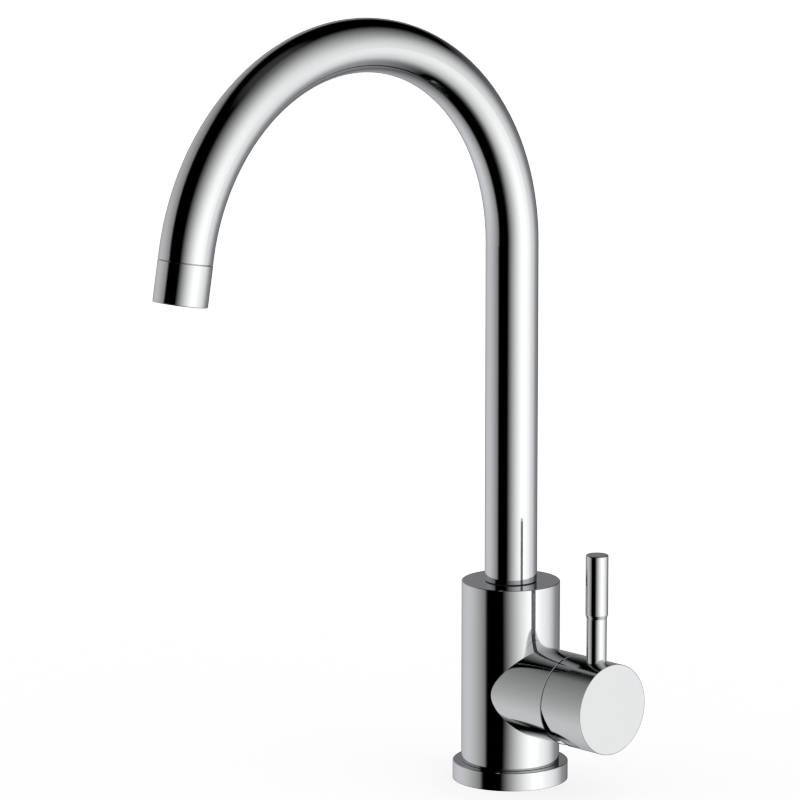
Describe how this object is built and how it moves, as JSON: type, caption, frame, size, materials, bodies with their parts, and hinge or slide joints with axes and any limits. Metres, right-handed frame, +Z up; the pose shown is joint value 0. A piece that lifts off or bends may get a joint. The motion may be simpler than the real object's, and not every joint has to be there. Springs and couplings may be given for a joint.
{
  "type": "mixer tap",
  "caption": "Single-lever mixer tap: round upright body, side cartridge branch with a pin lever on its cap, and a tall swivelling gooseneck spout with a jet breaker.",
  "frame": {"origin": "centre of the underside of the body, at deck level", "axes": "+Z up along the body and riser, -Y towards the spout outlet at rest, +X along the cartridge branch towards the handle"},
  "size_m": [0.0987, 0.2541, 0.3852],
  "materials": {
    "chrome": "mirror-polished chrome plate on brass",
    "brass": "machined, unplated",
    "steel": "plain stainless",
    "ceramic": "lapped",
    "cartridge_plastic": "moulded",
    "black_plastic": "moulded",
    "breaker_plastic": "moulded",
    "rubber": "moulded"
  },
  "bodies": {
    "body": {"base_ring": "chrome", "deck_gasket": "rubber", "tap_body": "chrome", "cartridge_base": "cartridge_plastic", "port_seals": "rubber", "disc_gasket": "rubber", "fixed_disc": "ceramic", "cartridge_shell": "cartridge_plastic", "cartridge_nut": "brass", "cover_ring": "black_plastic", "spout_bush": "black_plastic", "spout_lock_screw": "steel"},
    "spout": {"spout_tube": "chrome", "spout_spigot": "brass", "spigot_orings": "rubber", "slide_ring": "black_plastic", "outlet_nipple": "chrome", "outlet_gasket": "rubber", "outlet_screen": "steel", "jet_breaker": "breaker_plastic", "outlet_sleeve": "chrome"},
    "turret": {"turret": "cartridge_plastic", "turret_oring": "rubber", "pivot_pin": "steel"},
    "disc": {"moving_disc": "ceramic", "disc_carrier": "cartridge_plastic"},
    "handle": {"spindle": "steel", "handle_cap": "chrome", "handle_grub_screw": "steel", "lever": "chrome"}
  },
  "joints": [
    {"name": "spout_swivel", "type": "hinge", "parent": "body", "child": "spout", "pos_m": [0, 0, 0.0998], "axis": [0, 0, 1], "continuous": true},
    {"name": "temperature_turn", "type": "hinge", "parent": "body", "child": "turret", "pos_m": [0.0331, 0, 0.0468], "axis": [1, 0, 0], "range_deg": [-45, 45]},
    {"name": "handle_tilt", "type": "hinge", "parent": "turret", "child": "handle", "pos_m": [0.04, 0, 0.0468], "axis": [0, 1, 0], "range_deg": [0, 18]},
    {"name": "disc_slide", "type": "slide", "parent": "turret", "child": "disc", "axis": [0, 0, 1], "range_m": [0, 0.00407]}
  ],
  "couplings": [
    {"joint": "disc_slide", "follows": "handle_tilt", "m_per_rad": 0.012946}
  ]
}
